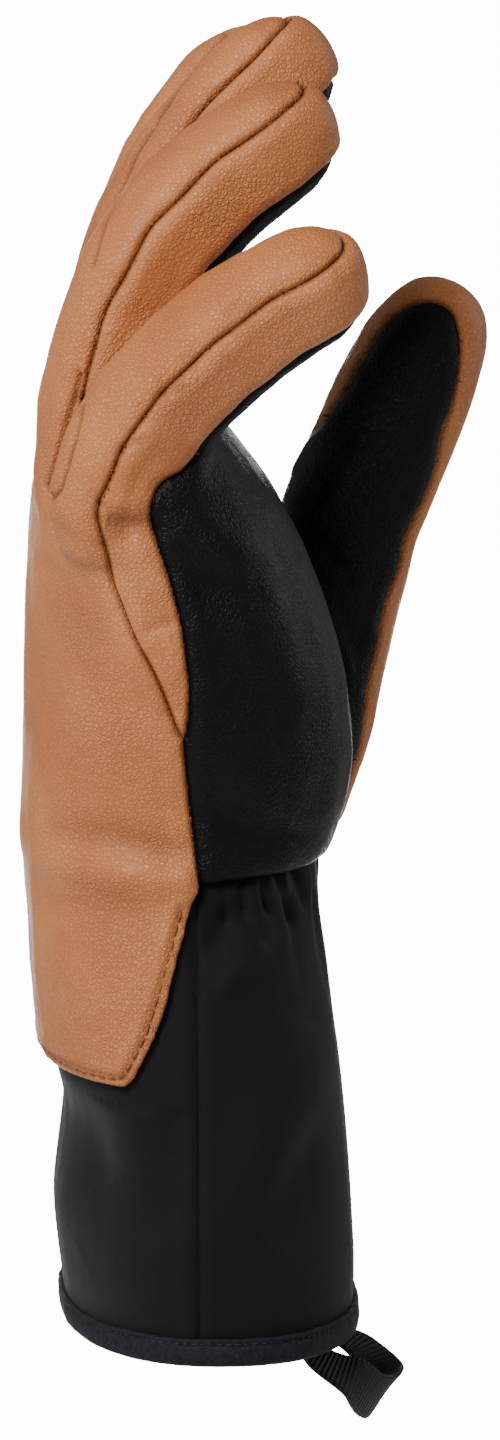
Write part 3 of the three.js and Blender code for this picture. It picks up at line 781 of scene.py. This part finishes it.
outward = np.stack([points[:, 0] / 29.0 ** 2, points[:, 1] / 50.0 ** 2,
                    np.zeros(len(points))], axis=1)
outward /= np.maximum(np.linalg.norm(outward, axis=1, keepdims=True), 1e-12)
fade = np.clip(points[:, 2] / (16 * MM), 0, 1) * np.clip((101 * MM - points[:, 2]) / (4 * MM), 0, 1)
hidden = np.clip((points[:, 0] + 8 * MM) / (8 * MM), 0, 1)
covered = np.where(points[:, 2] > 52 * MM, 0.1 + 0.9 * hidden, 1.0)
lift = np.array([gather_lift(p) for p in points])
lift += fold_lift(points, outward @ np.array(view_back), CUFF_FOLDS)
valley = np.exp(-(gaps / (0.5 * MM)) ** 2)
beside_seam = np.exp(-((gaps - 2.4 * MM) / (1.8 * MM)) ** 2)
points = points + outward * (lift * fade * covered - 0.7 * MM * valley
                             + 0.35 * MM * beside_seam)[:, None]
rim = np.clip((points[:, 2] - (CUFF_TOP - 3 * MM)) / (3 * MM), 0, 1)
points = points - outward * (rim * 1.2 * MM)[:, None]
points[:, 2] += rim * 2.2 * MM
# Painted shade down in the cuff's seam valleys, kept on the points like the leather's; the softshell's
# shader does not read it.
painted_groove_shade = valley * 0.8

softshell = bpy.data.materials.new("softshell")
softshell.use_nodes = True
tree = softshell.node_tree
shader = tree.nodes["Principled BSDF"]
shader.inputs["Roughness"].default_value = 0.8
shader.inputs["Specular IOR Level"].default_value = 0.22
shader.inputs["Sheen Weight"].default_value = 0.06
shader.inputs["Sheen Roughness"].default_value = 0.5
place = tree.nodes.new("ShaderNodeTexCoord")
weave = tree.nodes.new("ShaderNodeTexNoise")
weave.inputs["Scale"].default_value = 2600
weave.inputs["Detail"].default_value = 3
tone = tree.nodes.new("ShaderNodeTexNoise")
tone.inputs["Scale"].default_value = 60
ramp = tree.nodes.new("ShaderNodeValToRGB")
ramp.color_ramp.elements[0].color = srgb(8, 7, 10)
ramp.color_ramp.elements[1].color = srgb(14, 12, 17)
bump = tree.nodes.new("ShaderNodeBump")
bump.inputs["Strength"].default_value = 0.4
bump.inputs["Distance"].default_value = 0.0002
tree.links.new(place.outputs["Object"], weave.inputs["Vector"])
tree.links.new(place.outputs["Object"], tone.inputs["Vector"])
tree.links.new(tone.outputs["Fac"], ramp.inputs["Fac"])
tree.links.new(ramp.outputs["Color"], shader.inputs["Base Color"])
tree.links.new(weave.outputs["Fac"], bump.inputs["Height"])
tree.links.new(bump.outputs["Normal"], shader.inputs["Normal"])
for k, name in enumerate(CUFF):
    piece = panel_piece("cloth_" + name, points, triangles[panel == k], painted_groove_shade)
    piece.data.materials.append(softshell)
    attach(piece, "root")
    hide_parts(name)

# The hem: a dark woven tape, folded over the cuff's lower edge so that it shows inside and
# out, and sewn through both layers near its upper edge.
HEM_HEIGHT = 6 * MM
HEM_WALL = 0.9 * MM
CUFF_WALL = 2 * MM
CUFF_WIDTH = 104 * MM
CUFF_POWER = 2.25
HEM_GAP = 0.3 * MM
HEM_STEPS = 300
OUTLINE_STEPS = 2881
BACK_SHARE = 0.472
PALM_SHARE = 0.504
HALF_SHARE = 0.492
HEM_SECTION = (
    # reach from the cuff's outer face, height, both in millimetres
    (-3.2, 5.6), (-3.3, 3.0), (-3.2, 1.0), (-2.7, 0.15), (-1.0, 0.0), (0.5, 0.1), (1.15, 0.7),
    (1.35, 2.0), (1.3, 3.4), (1.15, 4.4), (0.85, 4.85), (1.15, 5.3), (1.05, 5.75), (0.55, 5.95),
    (0.1, 5.7),
)


def cuff_place(turn, reach, height):
    """A place on the cuff's outline, at a reach outside its outer face."""
    share = min(1.0, height / (11.8 * MM))
    back = (BACK_SHARE + 0.026 * share) * CUFF_DEPTH
    palm = (PALM_SHARE + 0.002 * share) * CUFF_DEPTH
    half = (HALF_SHARE + 0.008 * share) * CUFF_WIDTH
    u = math.copysign(abs(math.cos(turn)) ** (2 / CUFF_POWER), math.cos(turn))
    v = math.copysign(abs(math.sin(turn)) ** (2 / CUFF_POWER), math.sin(turn))
    return Vector(((palm - back) / 2 - u * ((palm + back) / 2 + reach), v * (half + reach), height))


def even_turns(count):
    """Turns that step evenly round the cuff's outline."""
    fine = np.linspace(0, 2 * math.pi, OUTLINE_STEPS)
    ring = np.array([cuff_place(t, 0, 0) for t in fine])
    run = np.concatenate([[0], np.cumsum(np.linalg.norm(np.diff(ring, axis=0), axis=1))])
    return np.interp(np.arange(count) / count * run[-1], run, fine)


hem = bmesh.new()
rings = []
for turn in even_turns(HEM_STEPS):
    wave = noise.noise(Vector((math.cos(turn) * 2.3, math.sin(turn) * 2.3, 1)))
    ripple = noise.noise(Vector((math.cos(turn) * 11, math.sin(turn) * 11, 4)))
    ring = []
    for reach, height in HEM_SECTION:
        top = height / 6
        z = (height + top * (wave * 0.5 + ripple * 0.15)) * MM
        side = 1 if reach > 0 else 0
        ring.append(hem.verts.new(cuff_place(turn, (reach + side * ripple * 0.18) * MM, z)))
    rings.append(ring)
for k, ring in enumerate(rings):
    after = rings[(k + 1) % len(rings)]
    for j in range(len(ring)):
        i = (j + 1) % len(ring)
        hem.faces.new((ring[j], after[j], after[i], ring[i]))
bmesh.ops.recalc_face_normals(hem, faces=hem.faces)
hem_mesh = bpy.data.meshes.new("hem_tape")
hem.to_mesh(hem_mesh)
hem.free()
hem_mesh.polygons.foreach_set("use_smooth", [True] * len(hem_mesh.polygons))
hem_piece = new_piece("hem_tape", hem_mesh)


def woven(name, dark, light, roughness, scale, depth):
    """Matte woven cloth, with a fine uneven weave and a little change of tone."""
    paint = bpy.data.materials.new(name)
    paint.use_nodes = True
    tree = paint.node_tree
    shader = tree.nodes["Principled BSDF"]
    shader.inputs["Roughness"].default_value = roughness
    shader.inputs["Specular IOR Level"].default_value = 0.25
    place = tree.nodes.new("ShaderNodeTexCoord")
    weave = tree.nodes.new("ShaderNodeTexVoronoi")
    weave.inputs["Scale"].default_value = scale
    tone = tree.nodes.new("ShaderNodeTexNoise")
    tone.inputs["Scale"].default_value = 900
    tone.inputs["Detail"].default_value = 4
    ramp = tree.nodes.new("ShaderNodeValToRGB")
    ramp.color_ramp.elements[0].position = 0.35
    ramp.color_ramp.elements[0].color = dark
    ramp.color_ramp.elements[1].position = 0.7
    ramp.color_ramp.elements[1].color = light
    bump = tree.nodes.new("ShaderNodeBump")
    bump.inputs["Strength"].default_value = 0.6
    bump.inputs["Distance"].default_value = depth
    tree.links.new(place.outputs["Object"], weave.inputs["Vector"])
    tree.links.new(place.outputs["Object"], tone.inputs["Vector"])
    tree.links.new(tone.outputs["Fac"], ramp.inputs["Fac"])
    tree.links.new(ramp.outputs["Color"], shader.inputs["Base Color"])
    tree.links.new(weave.outputs["Distance"], bump.inputs["Height"])
    tree.links.new(bump.outputs["Normal"], shader.inputs["Normal"])
    return paint


hem_piece.data.materials.append(woven("hem_tape", srgb(15, 15, 23), srgb(33, 33, 45), 0.75, 2400,
                                      0.00025))
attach(hem_piece, "root")
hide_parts("hem_binding")


# Stitches: short capsules of thread, each pressed into the leather or cloth between two
# holes. A tan row runs round the flap and a black row round the hem.
HEM_STITCHES = 150


def stitch_row(name, line, facings, thickness, share, paint):
    """One piece made of a row of stitches between the places of a line."""
    rows = bmesh.new()
    for k in range(len(line) - 1):
        a, b = Vector(line[k]), Vector(line[k + 1])
        reach = (b - a) * share / 2
        middle = (a + b) / 2
        forward = (b - a).normalized()
        out = Vector(facings[k]).normalized()
        side = forward.cross(out).normalized()
        rings = []
        for t, size, rise in ((-1, 0.45, -0.5), (-0.6, 0.95, 0.1), (0, 1, 0.3), (0.6, 0.95, 0.1),
                              (1, 0.45, -0.5)):
            centre = middle + reach * t + out * rise * thickness / 2
            rings.append([rows.verts.new(centre + (side * math.cos(c) + out * math.sin(c))
                                         * size * thickness / 2)
                          for c in (j * math.pi / 3 for j in range(6))])
        for one, two in zip(rings, rings[1:]):
            for j in range(6):
                rows.faces.new((one[j], one[(j + 1) % 6], two[(j + 1) % 6], two[j]))
        rows.faces.new(rings[0][::-1])
        rows.faces.new(rings[-1])
    bmesh.ops.recalc_face_normals(rows, faces=rows.faces)
    mesh = bpy.data.meshes.new(name)
    rows.to_mesh(mesh)
    rows.free()
    mesh.polygons.foreach_set("use_smooth", [True] * len(mesh.polygons))
    piece = new_piece(name, mesh)
    piece.data.materials.append(paint)
    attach(piece, "root")
    return piece


tan_thread = woven("tan_thread", srgb(120, 72, 40), srgb(168, 108, 66), 0.6, 5000, 0.00005)
black_thread = woven("black_thread", srgb(16, 16, 20), srgb(46, 46, 54), 0.6, 5000, 0.00005)
flap_stitches = even_steps(flap_stitch_line, STITCH_STEP)
flap_facing = [Vector((p[0] + 0.01, p[1] * 0.5, 0)) for p in flap_stitches]
stitch_row("flap_stitches", flap_stitches, flap_facing, 0.45 * MM, 0.78, tan_thread)
hem_turns = even_turns(HEM_STITCHES)
hem_line = [cuff_place(t, 0.95 * MM, 4.85 * MM
                       + noise.noise(Vector((math.cos(t) * 2.3, math.sin(t) * 2.3, 1))) * 0.4 * MM)
            for t in list(hem_turns) + [hem_turns[0]]]
hem_facing = [Vector((p[0], p[1] * 0.35, 0)) for p in hem_line]
stitch_row("hem_stitches", hem_line, hem_facing, 0.4 * MM, 0.72, black_thread)

# The hang loop: a short strap of ribbed black webbing. It is bent into a loop that hangs
# below the hem, and both its ends are sewn in under the tape on the palm side.
LOOP_WIDTH = 10 * MM
LOOP_WALL = 1.2 * MM
LOOP_DROP = 13 * MM
LOOP_FREE = 1.5 * MM
LOOP_RISE = 4.5 * MM
LOOP_ENDS = (0.72, 0.13)
LOOP_ROWS = ((0.94, -0.60, -0.58), (1.08, -0.50, -0.94), (1.17, -0.38, -1.00),
             (1.18, -0.25, -0.80), (1.07, -0.17, -0.46))
LOOP_LEAN = Vector((0.6, 0.25, 0.76))
LOOP_STEPS = 120
LOOP_SECTION = ((-0.5, -0.28), (-0.47, -0.46), (-0.4, -0.5), (-0.2, -0.5), (0, -0.5), (0.2, -0.5),
                (0.4, -0.5), (0.47, -0.46), (0.5, -0.28), (0.5, 0.28), (0.47, 0.46), (0.4, 0.5),
                (0.2, 0.5), (0, 0.5), (-0.2, 0.5), (-0.4, 0.5), (-0.47, 0.46), (-0.5, 0.28))
LOOP_RIBS = 62
LOOP_THREADS = 16


def hem_place(turn, height):
    """A place inside the folded tape, and the direction along the hem there."""
    inset = (CUFF_WALL + 3 * HEM_GAP + HEM_WALL + LOOP_WALL / 2
             + LOOP_WIDTH * LOOP_WIDTH / (4 * CUFF_WIDTH))
    middle = (PALM_SHARE - BACK_SHARE) / 2 * CUFF_DEPTH
    reach = (PALM_SHARE + BACK_SHARE) / 2 * CUFF_DEPTH - inset
    half = HALF_SHARE * CUFF_WIDTH - inset
    place = Vector((middle + reach * math.cos(turn), -half * math.sin(turn), height))
    across = Vector((reach * math.sin(turn), half * math.cos(turn), 0)).normalized()
    return place, across


def smooth_curve(places, count):
    """Even steps along a centripetal curve through the places."""
    ends = [places[0] * 2 - places[1]] + places + [places[-1] * 2 - places[-2]]
    fine = []
    for p0, p1, p2, p3 in zip(ends, ends[1:], ends[2:], ends[3:]):
        t1 = max((p1 - p0).length ** 0.5, 1e-6)
        t2 = t1 + max((p2 - p1).length ** 0.5, 1e-6)
        t3 = t2 + max((p3 - p2).length ** 0.5, 1e-6)
        for j in range(40):
            t = t1 + (t2 - t1) * j / 40
            a1 = p0 * ((t1 - t) / t1) + p1 * (t / t1)
            a2 = p1 * ((t2 - t) / (t2 - t1)) + p2 * ((t - t1) / (t2 - t1))
            a3 = p2 * ((t3 - t) / (t3 - t2)) + p3 * ((t - t2) / (t3 - t2))
            b1 = a1 * ((t2 - t) / t2) + a2 * (t / t2)
            b2 = a2 * ((t3 - t) / (t3 - t1)) + a3 * ((t - t1) / (t3 - t1))
            fine.append(b1 * ((t2 - t) / (t2 - t1)) + b2 * ((t - t1) / (t2 - t1)))
    fine.append(places[-1])
    line = np.array(fine)
    run = np.concatenate([[0], np.cumsum(np.linalg.norm(np.diff(line, axis=0), axis=1))])
    marks = np.linspace(0, run[-1], count)
    return [Vector(p) for p in np.stack([np.interp(marks, run, line[:, k]) for k in range(3)], 1)]


starts = [hem_place(LOOP_ENDS[0], LOOP_RISE), hem_place(LOOP_ENDS[0], -LOOP_FREE)]
finishes = [hem_place(LOOP_ENDS[1], -LOOP_FREE), hem_place(LOOP_ENDS[1], LOOP_RISE)]
hanging = [Vector((x * CUFF_DEPTH / 2, y * CUFF_WIDTH / 2, z * LOOP_DROP)) for x, y, z in LOOP_ROWS]
middle_line = smooth_curve([p for p, _ in starts] + hanging + [p for p, _ in finishes], LOOP_STEPS)
loop = bmesh.new()
uv_layer = loop.loops.layers.uv.new("webbing")
rings = []
for k, place in enumerate(middle_line):
    before = middle_line[max(0, k - 1)]
    after = middle_line[min(LOOP_STEPS - 1, k + 1)]
    forward = (after - before).normalized()
    hang = min(1.0, max(0.0, (-LOOP_FREE - place.z) / LOOP_DROP))
    seat = starts[0][1] if k < LOOP_STEPS / 2 else finishes[0][1]
    across = seat.lerp(LOOP_LEAN, hang)
    across = (across - forward * across.dot(forward)).normalized()
    thin = forward.cross(across).normalized()
    rings.append([loop.verts.new(place + across * u * LOOP_WIDTH + thin * v * LOOP_WALL)
                  for u, v in LOOP_SECTION])
for k, (one, two) in enumerate(zip(rings, rings[1:])):
    for j in range(len(one)):
        i = (j + 1) % len(one)
        face = loop.faces.new((one[j], one[i], two[i], two[j]))
        corners = ((k, j), (k, i), (k + 1, i), (k + 1, j))
        for corner, (row, column) in zip(face.loops, corners):
            corner[uv_layer].uv = (LOOP_SECTION[column][0], row / LOOP_STEPS)
loop.faces.new(rings[0][::-1])
loop.faces.new(rings[-1])
bmesh.ops.recalc_face_normals(loop, faces=loop.faces)
loop_mesh = bpy.data.meshes.new("hang_loop_webbing")
loop.to_mesh(loop_mesh)
loop.free()
loop_mesh.polygons.foreach_set("use_smooth", [True] * len(loop_mesh.polygons))
loop_piece = new_piece("hang_loop_webbing", loop_mesh)

webbing = bpy.data.materials.new("webbing")
webbing.use_nodes = True
tree = webbing.node_tree
shader = tree.nodes["Principled BSDF"]
shader.inputs["Roughness"].default_value = 0.6
shader.inputs["Specular IOR Level"].default_value = 0.35
shader.inputs["Base Color"].default_value = srgb(20, 20, 23)
chart = tree.nodes.new("ShaderNodeUVMap")
chart.uv_map = "webbing"
split = tree.nodes.new("ShaderNodeSeparateXYZ")
tree.links.new(chart.outputs["UV"], split.inputs["Vector"])
rib = tree.nodes.new("ShaderNodeMath")
rib.operation = "MULTIPLY"
rib.inputs[1].default_value = 2 * math.pi * LOOP_RIBS
tree.links.new(split.outputs["Y"], rib.inputs[0])
wave = tree.nodes.new("ShaderNodeMath")
wave.operation = "SINE"
tree.links.new(rib.outputs["Value"], wave.inputs[0])
cross = tree.nodes.new("ShaderNodeMath")
cross.operation = "MULTIPLY"
cross.inputs[1].default_value = 2 * math.pi * LOOP_THREADS
tree.links.new(split.outputs["X"], cross.inputs[0])
cross_wave = tree.nodes.new("ShaderNodeMath")
cross_wave.operation = "SINE"
tree.links.new(cross.outputs["Value"], cross_wave.inputs[0])
both = tree.nodes.new("ShaderNodeMath")
both.operation = "MULTIPLY_ADD"
both.inputs[1].default_value = 0.35
tree.links.new(cross_wave.outputs["Value"], both.inputs[0])
tree.links.new(wave.outputs["Value"], both.inputs[2])
bump = tree.nodes.new("ShaderNodeBump")
bump.inputs["Strength"].default_value = 0.9
bump.inputs["Distance"].default_value = 0.00018
tree.links.new(both.outputs["Value"], bump.inputs["Height"])
tree.links.new(bump.outputs["Normal"], shader.inputs["Normal"])
loop_piece.data.materials.append(webbing)
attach(loop_piece, "root")
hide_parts("hang_loop")
